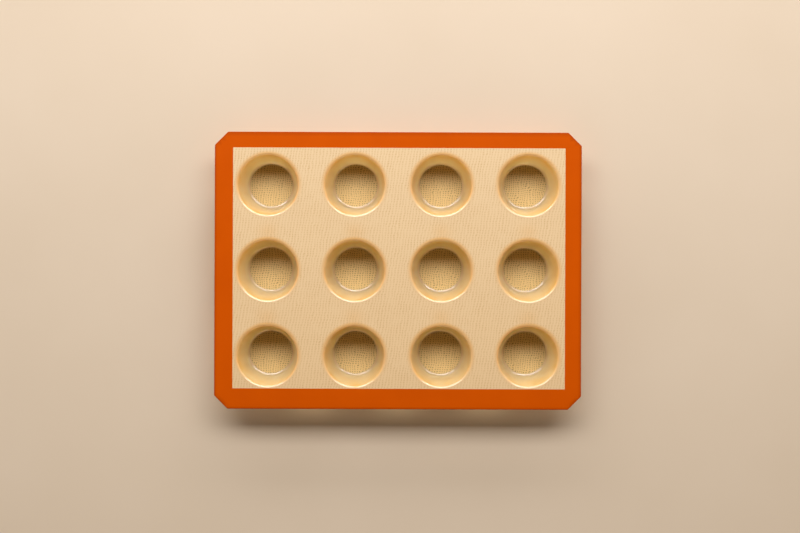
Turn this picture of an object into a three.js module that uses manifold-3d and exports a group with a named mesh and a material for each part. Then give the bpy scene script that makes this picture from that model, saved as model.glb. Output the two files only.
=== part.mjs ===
// Silicone muffin mould: a woven glass cloth, coated with silicone on both sides and formed into a
// grid of tapered cups, with a coloured silicone band bound round the cut edge of the cloth.
//
// Millimetres, +Z up. The origin is the middle of the footprint, on the plane of the cups' undersides.
// +X runs along the longer side, and +Y towards the back edge.

import * as THREE from "three";
import { mergeVertices } from "three/addons/utils/BufferGeometryUtils.js";
import Module from "manifold-3d";

// Layers of the laminate, from the food side down
const faceCoatThickness = 0.4;
const clothThickness = 0.4;
const backCoatThickness = 0.4;

// One cup, measured on its food face
const cupDepth = 35;
const floorRadius = 22.7;
const footFillet = 4.2;
const lipFillet = 2.5;
const wallTaper = THREE.MathUtils.degToRad(11);

// The grid of cups, with the flat web left between neighbouring lips
const cupColumns = 4;
const cupRows = 3;
const webBetweenColumns = 25;
const webBetweenRows = 23.6;

// Flat web between the outermost lips and the edge band, on each side
const webMarginLeft = 3.1;
const webMarginRight = 5.3;
const webMarginFront = 0.5;
const webMarginBack = 5.7;

// Width of the edge band on each side
const bandLeft = 20.1;
const bandRight = 17.9;
const bandFront = 22.5;
const bandBack = 17.3;

// The corners of the sheet are cut off at 45 degrees, by this much along each side
const cornerCut = 14.5;

// Solid silicone outside the cut edge of the cloth, and the clearances of bonded pieces
const bandEdgeWall = 2.5;
const clothEdgeClearance = 0.3;
const cupSeamClearance = 0.1;

// Facets round a cup, and along each of its fillets
const cupSides = 24;
const filletSteps = 3;

// Finishes
const tanSilicone = new THREE.MeshStandardMaterial({ color: 0xe5c598, roughness: 0.45, metalness: 0 });
const orangeSilicone = new THREE.MeshStandardMaterial({ color: 0xcb5402, roughness: 0.5, metalness: 0 });
const wovenGlass = new THREE.MeshStandardMaterial({ color: 0xeee4cf, roughness: 0.85, metalness: 0 });

// Heights that follow from the laminate and the cup
const laminate = faceCoatThickness + clothThickness + backCoatThickness;
const webTop = laminate + cupDepth;
const faceCoatBottom = webTop - faceCoatThickness;
const clothBottom = faceCoatBottom - clothThickness;
const backCoatBottom = clothBottom - backCoatThickness;

// Centres of the two fillets in the cup's section, and the radius at which its lip runs into the web
const footCentre = new THREE.Vector2(floorRadius, laminate + footFillet);
const lipCentre = findLipCentre();
const rimRadius = lipCentre.x;

// The grid is centred on its own origin, and the band and margins are laid out round it
const columnPitch = 2 * rimRadius + webBetweenColumns;
const rowPitch = 2 * rimRadius + webBetweenRows;
const gridHalfWidth = ((cupColumns - 1) * columnPitch) / 2 + rimRadius;
const gridHalfDepth = ((cupRows - 1) * rowPitch) / 2 + rimRadius;
const web = {
  left: -gridHalfWidth - webMarginLeft,
  right: gridHalfWidth + webMarginRight,
  front: -gridHalfDepth - webMarginFront,
  back: gridHalfDepth + webMarginBack,
};
const sheet = {
  left: web.left - bandLeft,
  right: web.right + bandRight,
  front: web.front - bandFront,
  back: web.back + bandBack,
};

const wasm = await Module();
wasm.setup();

// The wall leaves the foot fillet at the taper angle and runs straight until the lip fillet takes over.
function findLipCentre() {
  const wallBottom = new THREE.Vector2(
    footCentre.x + footFillet * Math.cos(wallTaper),
    footCentre.y - footFillet * Math.sin(wallTaper),
  );
  const wallTopHeight = webTop - lipFillet * (1 - Math.sin(wallTaper));
  const wallTopRadius = wallBottom.x + (wallTopHeight - wallBottom.y) * Math.tan(wallTaper);
  return new THREE.Vector2(wallTopRadius + lipFillet * Math.cos(wallTaper), webTop - lipFillet);
}

// One fillet of the cup's section, as points of an arc about its centre.
function filletArc(centre, radius, startAngle, endAngle) {
  const clockwise = endAngle < startAngle;
  const arc = new THREE.EllipseCurve(centre.x, centre.y, radius, radius, startAngle, endAngle, clockwise);
  return arc.getPoints(filletSteps);
}

// The cup's section: out along the underside to the rim, then back along the food face.
// Both faces share the fillets' centres, so the wall keeps the laminate's thickness all the way.
function cupGeometry() {
  const down = -Math.PI / 2;
  const up = Math.PI / 2;
  const footEnd = -wallTaper;
  const lipStart = Math.PI - wallTaper;
  const section = [
    new THREE.Vector2(0, 0),
    ...filletArc(footCentre, footFillet + laminate, down, footEnd),
    ...filletArc(lipCentre, lipFillet - laminate, lipStart, up),
    ...filletArc(lipCentre, lipFillet, up, lipStart),
    ...filletArc(footCentre, footFillet, footEnd, down),
    new THREE.Vector2(0, laminate),
  ];
  return new THREE.LatheGeometry(section, cupSides).rotateX(Math.PI / 2);
}

// Centres of the cups, row by row from the back left corner.
function cupPlaces() {
  const places = [];
  for (let row = 0; row < cupRows; row += 1) {
    for (let column = 0; column < cupColumns; column += 1) {
      places.push({
        name: `cup_row${row + 1}_col${column + 1}`,
        x: (column - (cupColumns - 1) / 2) * columnPitch,
        y: ((cupRows - 1) / 2 - row) * rowPitch,
      });
    }
  }
  return places;
}

// The sheet's outline with its cut corners, moved inwards by an equal distance on every side.
function sheetOutline(inset) {
  const left = sheet.left + inset;
  const right = sheet.right - inset;
  const front = sheet.front + inset;
  const back = sheet.back - inset;
  const cut = cornerCut - inset * (2 - Math.SQRT2);
  return [
    new THREE.Vector2(left + cut, front),
    new THREE.Vector2(right - cut, front),
    new THREE.Vector2(right, front + cut),
    new THREE.Vector2(right, back - cut),
    new THREE.Vector2(right - cut, back),
    new THREE.Vector2(left + cut, back),
    new THREE.Vector2(left, back - cut),
    new THREE.Vector2(left, front + cut),
  ];
}

// The square-cornered window inside the band, which the two coats fill.
function webOutline() {
  return [
    new THREE.Vector2(web.left, web.front),
    new THREE.Vector2(web.right, web.front),
    new THREE.Vector2(web.right, web.back),
    new THREE.Vector2(web.left, web.back),
  ];
}

// The hole in a layer of the web round one cup, with as many sides as the cup.
function cupHole(place) {
  const radius = rimRadius + cupSeamClearance;
  const corners = [];
  for (let side = 0; side < cupSides; side += 1) {
    const angle = (2 * Math.PI * side) / cupSides;
    corners.push(new THREE.Vector2(place.x + radius * Math.cos(angle), place.y + radius * Math.sin(angle)));
  }
  return new THREE.Path(corners);
}

// A flat layer of the given outline and holes, between two heights.
function layer(outline, holes, bottom, top) {
  const shape = new THREE.Shape(outline);
  shape.holes.push(...holes);
  const geometry = new THREE.ExtrudeGeometry(shape, { depth: top - bottom, bevelEnabled: false });
  return geometry.translate(0, 0, bottom);
}

// A closed geometry as a solid that can be joined to another.
function toSolid(geometry) {
  const bare = geometry.clone();
  bare.deleteAttribute("normal");
  bare.deleteAttribute("uv");
  const merged = mergeVertices(bare);
  const mesh = new wasm.Mesh({
    numProp: 3,
    vertProperties: merged.attributes.position.array,
    triVerts: new Uint32Array(merged.index.array),
  });
  return new wasm.Manifold(mesh);
}

// A joined solid as a geometry again.
function toGeometry(solid) {
  const mesh = solid.getMesh();
  const geometry = new THREE.BufferGeometry();
  geometry.setAttribute("position", new THREE.BufferAttribute(mesh.vertProperties, 3));
  geometry.setIndex(new THREE.BufferAttribute(mesh.triVerts, 1));
  geometry.computeVertexNormals();
  return geometry;
}

// The band has a U-shaped section: two flanges, flush with the coats, joined by a wall outside the cloth.
function bandGeometry() {
  const outline = sheetOutline(0);
  const window = new THREE.Path(webOutline());
  const clothPocket = new THREE.Path(sheetOutline(bandEdgeWall));
  const lowerFlange = layer(outline, [window], backCoatBottom, clothBottom);
  const edgeWall = layer(outline, [clothPocket], clothBottom, faceCoatBottom);
  const upperFlange = layer(outline, [window], faceCoatBottom, webTop);
  return toGeometry(toSolid(lowerFlange).add(toSolid(edgeWall)).add(toSolid(upperFlange)));
}

// A named piece of the mould.
function piece(name, geometry, material) {
  const mesh = new THREE.Mesh(geometry, material);
  mesh.name = name;
  return mesh;
}

const mould = new THREE.Group();
const places = cupPlaces();
const cupHoles = places.map(cupHole);
const clothOutline = sheetOutline(bandEdgeWall + clothEdgeClearance);

mould.add(piece("face_coat", layer(webOutline(), cupHoles, faceCoatBottom, webTop), tanSilicone));
mould.add(piece("glass_cloth", layer(clothOutline, cupHoles, clothBottom, faceCoatBottom), wovenGlass));
mould.add(piece("back_coat", layer(webOutline(), cupHoles, backCoatBottom, clothBottom), tanSilicone));
mould.add(piece("edge_band", bandGeometry(), orangeSilicone));

for (const place of places) {
  const cup = piece(place.name, cupGeometry(), tanSilicone);
  cup.position.set(place.x, place.y, 0);
  mould.add(cup);
}

// The footprint is centred on the origin, however wide the band is on each side.
mould.position.set(-(sheet.left + sheet.right) / 2, -(sheet.front + sheet.back) / 2, 0);

export default mould;
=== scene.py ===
"""Looks of a silicone muffin mould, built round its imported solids.

The mould is one flexible laminate: a woven glass cloth between two silicone coats, formed into a grid
of tapered cups and bound along its cut edge by a coloured silicone band. Everything here is in metres,
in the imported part's own frame: +Z up, the origin under the middle of the sheet, +Y towards its back edge.
"""

from __future__ import annotations

import logging
import math
from collections.abc import Iterator
from contextlib import contextmanager
from dataclasses import dataclass, field, replace
from enum import Enum

import bmesh
import bpy
import numpy as np
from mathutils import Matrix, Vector
from mathutils.geometry import delaunay_2d_cdt

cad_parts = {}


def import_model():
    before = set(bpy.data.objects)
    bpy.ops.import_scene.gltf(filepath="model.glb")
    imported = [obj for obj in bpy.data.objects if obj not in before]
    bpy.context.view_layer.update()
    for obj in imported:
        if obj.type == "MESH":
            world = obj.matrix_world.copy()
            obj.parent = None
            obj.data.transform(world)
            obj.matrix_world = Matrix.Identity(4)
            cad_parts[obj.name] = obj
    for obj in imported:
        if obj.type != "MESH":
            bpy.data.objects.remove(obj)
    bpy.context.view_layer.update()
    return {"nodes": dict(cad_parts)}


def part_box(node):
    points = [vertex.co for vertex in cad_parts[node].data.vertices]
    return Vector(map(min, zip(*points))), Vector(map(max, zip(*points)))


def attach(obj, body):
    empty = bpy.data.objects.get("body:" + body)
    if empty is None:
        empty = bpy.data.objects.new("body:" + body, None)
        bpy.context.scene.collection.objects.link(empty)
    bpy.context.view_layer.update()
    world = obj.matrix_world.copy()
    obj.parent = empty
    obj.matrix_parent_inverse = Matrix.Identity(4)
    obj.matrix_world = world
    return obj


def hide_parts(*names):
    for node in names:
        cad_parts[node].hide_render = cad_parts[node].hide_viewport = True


LOG = logging.getLogger("muffin_mould")

MM = 0.001
BODY = "root"

IMAGE_WIDTH = 800
IMAGE_HEIGHT = 533

Box = tuple[float, float, float, float]
Colour = tuple[float, float, float, float]
Limits = tuple[float, float]
Loop = list[tuple[float, float]]
Socket = bpy.types.NodeSocket
Amount = float | Socket
Tone = Colour | Socket
Fed = float | str | tuple | Socket

SILICONE_IOR = 1.42
PASSED_LIGHT: Colour = (0.955, 0.94, 0.885, 1.0)
PLACE_DIGITS = 6


class Slot(Enum):
    """The record's material slots."""

    TAN = "tan_silicone"
    ORANGE = "orange_silicone"
    GLASS = "woven_glass"


class Form(Enum):
    """How a stretch of the laminate is formed."""

    WEB = "web"
    CUP = "cup"


class Trait(Enum):
    """Named values that the meshes carry for their finishes."""

    CLOTH = "cloth_place"
    WALL = "wall"
    FLOOR = "floor"
    GLOSS = "gloss"
    BEND = "bend"
    GIVE = "give"
    RUN = "cloth_run"
    # Warm marks on the web, and painted shade towards the front.
    WARM_MARKS_AND_SHADE = "warm_marks_and_shade"
    OUTER_EDGE = "outer_edge"


def srgb(red: int, green: int, blue: int) -> Colour:
    """Turns a display colour into the linear one that the shaders take.

    Args:
        red: Red, from 0 to 255.
        green: Green, from 0 to 255.
        blue: Blue, from 0 to 255.

    Returns:
        The linear colour with full alpha.
    """
    linear = []
    for value in (red, green, blue):
        share = value / 255
        linear.append(share / 12.92 if share <= 0.04045 else ((share + 0.055) / 1.055) ** 2.4)
    return (linear[0], linear[1], linear[2], 1.0)


# Layout of the sheet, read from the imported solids


@dataclass(frozen=True)
class CupPlace:
    """Where one cup hangs in the sheet."""

    node: str
    row: int
    x: float
    y: float


@dataclass(frozen=True)
class SheetLayout:
    """Places, outlines and heights of the mould's pieces."""

    cups: tuple[CupPlace, ...]
    rim_radius: float
    web_top: float
    laminate: float
    window: Box
    sheet: Box
    cloth: Box
    corner_cut: float = 14.5 * MM
    pocket_inset: float = 2.5 * MM
    window_radius: float = 0.5 * MM
    bond_line: float = 0.02 * MM

    @classmethod
    def from_frame(cls, nodes: dict[str, bpy.types.Object]) -> SheetLayout:
        """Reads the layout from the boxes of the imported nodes.

        Args:
            nodes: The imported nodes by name.

        Returns:
            The layout of this mould.
        """
        cups = []
        for node in sorted(name for name in nodes if name.startswith("cup_row")):
            low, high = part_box(node)
            row, _ = node.removeprefix("cup_row").split("_col")
            middle = (low + high) / 2
            cups.append(CupPlace(node, int(row), middle.x, middle.y))
        cup_low, cup_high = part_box(cups[0].node)
        band_low, band_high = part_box("edge_band")
        return cls(
            cups=tuple(cups),
            rim_radius=(cup_high.x - cup_low.x) / 2,
            web_top=band_high.z,
            laminate=band_high.z - band_low.z,
            window=cls.footprint("face_coat"),
            sheet=cls.footprint("edge_band"),
            cloth=cls.footprint("glass_cloth"),
        )

    @staticmethod
    def footprint(node: str) -> Box:
        """Gives a node's left, front, right and back edges."""
        low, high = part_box(node)
        return (low.x, low.y, high.x, high.y)

    def pitch(self) -> tuple[float, float]:
        """Gives the distances between neighbouring columns and rows of cups."""
        columns = sorted({round(place.x, PLACE_DIGITS) for place in self.cups})
        rows = sorted({round(place.y, PLACE_DIGITS) for place in self.cups})
        return (columns[1] - columns[0], rows[1] - rows[0])

    def octagon(self, inset: float) -> Loop:
        """Gives the corners of the sheet's outline, moved inwards.

        Args:
            inset: How far every side moves inwards.

        Returns:
            The eight corners, anticlockwise.
        """
        left, front, right, back = self.sheet
        left += inset
        front += inset
        right -= inset
        back -= inset
        cut = self.corner_cut - inset * (2 - math.sqrt(2))
        return [
            (left + cut, front),
            (right - cut, front),
            (right, front + cut),
            (right, back - cut),
            (right - cut, back),
            (left + cut, back),
            (left, back - cut),
            (left, front + cut),
        ]

    def window_loop(self, spacing: float) -> Loop:
        """Gives the outline of the window inside the band, anticlockwise.

        Args:
            spacing: Longest stretch on a straight side.

        Returns:
            The outline's points.
        """
        left, front, right, back = self.window
        corners = [(left, front), (right, front), (right, back), (left, back)]
        return rounded_loop(corners, self.window_radius, spacing)


@dataclass(frozen=True)
class SheetSag:
    """The slight give of a flexible sheet that stands on its cups."""

    layout: SheetLayout
    edge_droop: float = 0.45 * MM
    ripple: float = 0.1 * MM
    ripple_length_x: float = 118 * MM
    ripple_length_y: float = 87 * MM
    skew_x: float = 0.3
    skew_y: float = 0.2
    droop_power: int = 6
    height_power: int = 2

    def settle(self, points: np.ndarray) -> np.ndarray:
        """Lets points of the sheet settle, fully at the web and not at all at the cup floors.

        Args:
            points: Points in the part's frame, one a row.

        Returns:
            The settled points.
        """
        _, _, right, back = self.layout.sheet
        x, y, z = points.T
        towards_edge = np.abs(x / right) ** self.droop_power + np.abs(y / back) ** self.droop_power
        along_x = x / self.ripple_length_x
        along_y = y / self.ripple_length_y
        wave_x = np.sin(2 * np.pi * (along_x + self.skew_x * along_y))
        wave_y = np.sin(2 * np.pi * (along_y - self.skew_y * along_x))
        lift = self.ripple * wave_x * wave_y - self.edge_droop * towards_edge
        share = np.clip(z / self.layout.web_top, 0, 1) ** self.height_power
        settled = points.copy()
        settled[:, 2] += lift * share
        return settled


# Mesh tools


def arc(centre: tuple[float, float], radius: float, start: float, end: float, steps: int) -> Loop:
    """Gives points along an arc, both ends included.

    Args:
        centre: The arc's centre.
        radius: The arc's radius.
        start: Angle of the first point, in radians.
        end: Angle of the last point, in radians.
        steps: Number of stretches between the points.

    Returns:
        The points in order.
    """
    angles = [start + (end - start) * step / steps for step in range(steps + 1)]
    return [(centre[0] + radius * math.cos(a), centre[1] + radius * math.sin(a)) for a in angles]


def rounded_loop(corners: Loop, radius: float, spacing: float, corner_steps: int = 6) -> Loop:
    """Rounds the corners of a convex outline and splits its sides into short stretches.

    Args:
        corners: The corners, anticlockwise.
        radius: Radius of every corner.
        spacing: Longest stretch on a straight side.
        corner_steps: Number of stretches round each corner.

    Returns:
        The loop's points, anticlockwise, without repeating the first.
    """
    loop: Loop = []
    count = len(corners)
    for index in range(count):
        here = Vector(corners[index])
        before = (here - Vector(corners[index - 1])).normalized()
        after = (Vector(corners[(index + 1) % count]) - here).normalized()
        turn = before.angle_signed(after, 0.0)
        reach = radius * math.tan(abs(turn) / 2)
        first_normal = Vector((-before.y, before.x))
        centre = here - before * reach + first_normal * radius
        start = math.atan2(-first_normal.y, -first_normal.x)
        loop.extend(arc((centre.x, centre.y), radius, start, start + abs(turn), corner_steps))
    return split_sides(loop, spacing)


def split_sides(loop: Loop, spacing: float) -> Loop:
    """Splits each side of a loop that is longer than the spacing.

    Args:
        loop: The loop's points.
        spacing: Longest side left.

    Returns:
        The loop with the added points.
    """
    result: Loop = []
    for index, (x, y) in enumerate(loop):
        next_x, next_y = loop[(index + 1) % len(loop)]
        parts = max(1, math.ceil(math.hypot(next_x - x, next_y - y) / spacing))
        for part in range(parts):
            share = part / parts
            result.append((x + (next_x - x) * share, y + (next_y - y) * share))
    return result


def inset_loop(loop: Loop, inset: float, sharpest: float = 0.1) -> Loop:
    """Moves every side of an anticlockwise loop inwards, and keeps its number of points.

    Args:
        loop: The loop's points.
        inset: How far the sides move.
        sharpest: Least cosine of half a turn, so that a sharp corner doesn't fly out.

    Returns:
        The moved points.
    """
    moved: Loop = []
    for index in range(len(loop)):
        here = Vector(loop[index])
        before = (here - Vector(loop[index - 1])).normalized()
        after = (Vector(loop[(index + 1) % len(loop)]) - here).normalized()
        inwards = Vector((-before.y - after.y, before.x + after.x)).normalized()
        reach = inset / max(inwards.dot(Vector((-before.y, before.x))), sharpest)
        moved.append(tuple(here + inwards * reach))
    return moved


def inside_loop(loop: Loop, points: np.ndarray) -> np.ndarray:
    """Tells which points lie inside a loop, by counting crossings.

    Args:
        loop: The loop's points.
        points: Points to test, one a row.

    Returns:
        One truth value for each point.
    """
    found = np.zeros(len(points), bool)
    x, y = points[:, 0], points[:, 1]
    corners = np.array(loop)
    for (ax, ay), (bx, by) in zip(corners, np.roll(corners, -1, axis=0)):
        if ay == by:
            continue
        crosses = (ay > y) != (by > y)
        found ^= crosses & (x < (bx - ax) * (y - ay) / (by - ay) + ax)
    return found


def inside_region(outer: Loop, holes: list[Loop], points: np.ndarray) -> np.ndarray:
    """Tells which points lie inside a loop and outside all its holes.

    Args:
        outer: The region's outline.
        holes: Outlines of its holes.
        points: Points to test, one a row.

    Returns:
        One truth value for each point.
    """
    found = inside_loop(outer, points)
    for hole in holes:
        found &= ~inside_loop(hole, points)
    return found


@contextmanager
def edited(mesh: bpy.types.Mesh) -> Iterator[bmesh.types.BMesh]:
    """Opens a mesh for editing and writes it back when it is done."""
    work = bmesh.new()
    work.from_mesh(mesh)
    yield work
    work.to_mesh(mesh)
    work.free()


@dataclass
class SheetMesher:
    """Collects flat regions and walls, and welds them into one closed mesh."""

    spacing: float = 5 * MM
    clearance: float = 1.8 * MM
    weld: float = 0.002 * MM
    snap: float = 0.0002 * MM
    points: list[tuple[float, float, float]] = field(default_factory=list)
    faces: list[tuple[int, ...]] = field(default_factory=list)

    def add_faces(self, points: list[tuple[float, float, float]], faces: list[tuple[int, ...]]) -> None:
        """Adds faces whose corners are numbered within their own points."""
        offset = len(self.points)
        self.points.extend(points)
        self.faces.extend(tuple(corner + offset for corner in face) for face in faces)

    def add_region(self, outer: Loop, holes: list[Loop], height: float) -> None:
        """Adds a flat triangulated region with holes.

        Args:
            outer: The region's outline.
            holes: Outlines of its holes.
            height: Its height.
        """
        loops = [outer, *holes]
        corners = [point for loop in loops for point in loop]
        sides = []
        for loop in loops:
            start = len(sides)
            sides.extend((start + k, start + (k + 1) % len(loop)) for k in range(len(loop)))
        inner = self.inner_points(outer, holes)
        flat = [Vector(point) for point in corners + inner]
        places, _, triangles, *_ = delaunay_2d_cdt(flat, sides, [], 0, self.snap)
        spots = np.array([tuple(place) for place in places])
        kept = inside_region(outer, holes, spots[np.array(triangles)].mean(axis=1))
        chosen = [tuple(triangle) for triangle, keep in zip(triangles, kept) if keep]
        self.add_faces([(x, y, height) for x, y in spots], chosen)

    def inner_points(self, outer: Loop, holes: list[Loop]) -> Loop:
        """Gives an even grid of points inside a region, clear of its outlines.

        Args:
            outer: The region's outline.
            holes: Outlines of its holes.

        Returns:
            The grid's points.
        """
        low = np.min(outer, axis=0)
        high = np.max(outer, axis=0)
        along_x = np.arange(low[0] + self.spacing / 2, high[0], self.spacing)
        along_y = np.arange(low[1] + self.spacing / 2, high[1], self.spacing)
        grid = np.stack(np.meshgrid(along_x, along_y), axis=-1).reshape(-1, 2)
        grid = grid[inside_region(outer, holes, grid)]
        edges = np.array([point for loop in [outer, *holes] for point in loop])
        gaps = np.array([np.hypot(*(edges - spot).T).min() for spot in grid])
        return [(float(x), float(y)) for x, y in grid[gaps > self.clearance]]

    def add_strip(self, first: Loop, first_height: float, second: Loop, second_height: float) -> None:
        """Adds a closed strip between two loops with as many points.

        Args:
            first: The first loop.
            first_height: Its height.
            second: The second loop.
            second_height: Its height.
        """
        count = len(first)
        points = [(x, y, first_height) for x, y in first]
        points.extend((x, y, second_height) for x, y in second)
        faces = []
        for k in range(count):
            after = (k + 1) % count
            faces.append((k, after, count + after, count + k))
        self.add_faces(points, faces)

    def add_wall(self, loop: Loop, low: float, high: float) -> None:
        """Adds an upright wall on a loop."""
        self.add_strip(loop, low, loop, high)

    def add_plate(self, outer: Loop, holes: list[Loop], low: float, high: float) -> None:
        """Adds a closed plate with holes.

        Args:
            outer: The plate's outline.
            holes: Outlines of its holes.
            low: Height of its underside.
            high: Height of its top.
        """
        self.add_region(outer, holes, low)
        self.add_region(outer, holes, high)
        for loop in [outer, *holes]:
            self.add_wall(loop, low, high)

    def to_mesh(self, name: str) -> bpy.types.Mesh:
        """Welds what was added into one mesh with its faces pointing out.

        Args:
            name: The mesh's name.

        Returns:
            The closed mesh.
        """
        mesh = bpy.data.meshes.new(name)
        mesh.from_pydata(self.points, [], self.faces)
        with edited(mesh) as work:
            bmesh.ops.remove_doubles(work, verts=work.verts, dist=self.weld)
            bmesh.ops.recalc_face_normals(work, faces=work.faces)
        return mesh


def points_of(mesh: bpy.types.Mesh) -> np.ndarray:
    """Gives a mesh's points, one a row."""
    flat = np.empty(len(mesh.vertices) * 3)
    mesh.vertices.foreach_get("co", flat)
    return flat.reshape(-1, 3)


def move_points(mesh: bpy.types.Mesh, points: np.ndarray) -> None:
    """Puts a mesh's points at new places."""
    mesh.vertices.foreach_set("co", points.ravel())
    mesh.update()


def store_value(mesh: bpy.types.Mesh, trait: Trait, values: np.ndarray | list[float]) -> None:
    """Stores one number for each point of a mesh."""
    layer = mesh.attributes.new(trait.value, "FLOAT", "POINT")
    layer.data.foreach_set("value", np.asarray(values, np.float32))


def store_place(mesh: bpy.types.Mesh, trait: Trait, places: np.ndarray) -> None:
    """Stores one vector for each point of a mesh."""
    layer = mesh.attributes.new(trait.value, "FLOAT_VECTOR", "POINT")
    layer.data.foreach_set("vector", np.asarray(places, np.float32).ravel())


def read_value(mesh: bpy.types.Mesh, trait: Trait) -> np.ndarray:
    """Reads the number stored for each point of a mesh."""
    values = np.empty(len(mesh.vertices), np.float32)
    mesh.attributes[trait.value].data.foreach_get("value", values)
    return values


def shade_by_angle(mesh: bpy.types.Mesh, sharpest: float) -> None:
    """Shades a mesh smooth, with a crease where two faces meet at more than an angle.

    Args:
        mesh: The mesh to shade.
        sharpest: The widest angle that is still smooth, in radians.
    """
    with edited(mesh) as work:
        for face in work.faces:
            face.smooth = True
        for edge in work.edges:
            edge.smooth = edge.calc_face_angle(0.0) < sharpest


def add_piece(name: str, mesh: bpy.types.Mesh, node: str) -> None:
    """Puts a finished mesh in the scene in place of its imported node.

    Args:
        name: The piece's name.
        mesh: Its mesh, in the part's frame.
        node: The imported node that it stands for.
    """
    piece = bpy.data.objects.new(name, mesh)
    bpy.context.scene.collection.objects.link(piece)
    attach(piece, BODY)
    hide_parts(node)
    LOG.info("%s stands for %s, with %d faces", name, node, len(mesh.polygons))


# Finishes


class NodeGraph:
    """A tree of nodes, with short calls for those that the pieces and the room share."""

    def __init__(self, tree: bpy.types.NodeTree) -> None:
        """Starts with an empty tree.

        Args:
            tree: The tree to lay the nodes in.
        """
        self.tree = tree
        self.tree.nodes.clear()

    def node(self, kind: str, **settings: str | bool) -> bpy.types.Node:
        """Adds a node and sets its properties."""
        node = self.tree.nodes.new(kind)
        for name, value in settings.items():
            setattr(node, name, value)
        return node

    def feed(self, target: Socket, value: Fed) -> None:
        """Sets a socket to a constant or links it to another socket."""
        if isinstance(value, Socket):
            self.tree.links.new(value, target)
        else:
            target.default_value = value

    def step(self, kind: str, inputs: dict[str, Fed], output: int | str = 0, **settings: str) -> Socket:
        """Adds a node and feeds its inputs.

        Args:
            kind: The node's kind.
            inputs: What its inputs take, by name.
            output: The output that is wanted.
            **settings: The node's properties.

        Returns:
            That output.
        """
        node = self.node(kind, **settings)
        for name, value in inputs.items():
            self.feed(node.inputs[name], value)
        return node.outputs[output]

    def math(self, operation: str, first: Amount, second: Amount = 0.0, clamp: bool = False) -> Socket:
        """Adds a math node.

        Args:
            operation: The node's operation.
            first: Its first value.
            second: Its second value.
            clamp: Whether the result is held between 0 and 1.

        Returns:
            The result.
        """
        node = self.node("ShaderNodeMath", operation=operation, use_clamp=clamp)
        self.feed(node.inputs[0], first)
        self.feed(node.inputs[1], second)
        return node.outputs[0]

    def blend(self, share: Amount, first: Tone, second: Tone, kind: str = "MIX") -> Socket:
        """Mixes two colours.

        Args:
            share: Share of the second colour.
            first: The first colour.
            second: The second colour.
            kind: How the second colour works on the first.

        Returns:
            The mixed colour.
        """
        node = self.node("ShaderNodeMix", data_type="RGBA", blend_type=kind)
        self.feed(node.inputs["Factor"], share)
        self.feed(node.inputs[6], first)
        self.feed(node.inputs[7], second)
        return node.outputs[2]

    def mix_shaders(self, share: Socket, first: Socket, second: Socket) -> Socket:
        """Mixes two shaders by the share of the second."""
        node = self.node("ShaderNodeMixShader")
        for target, value in zip(node.inputs, (share, first, second)):
            self.feed(target, value)
        return node.outputs[0]

    def spread(self, value: Socket, low: float, high: float) -> Socket:
        """Spreads a value from 0 to 1 between two limits."""
        return self.step("ShaderNodeMapRange", {"Value": value, "To Min": low, "To Max": high})

    def split(self, vector: Socket) -> tuple[Socket, Socket, Socket]:
        """Gives the three parts of a vector."""
        node = self.node("ShaderNodeSeparateXYZ")
        self.feed(node.inputs[0], vector)
        return (node.outputs[0], node.outputs[1], node.outputs[2])

    def light_path(self, ray: str) -> Socket:
        """Tells whether the ray that is followed is of a kind."""
        return self.step("ShaderNodeLightPath", {}, output=ray)


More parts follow.
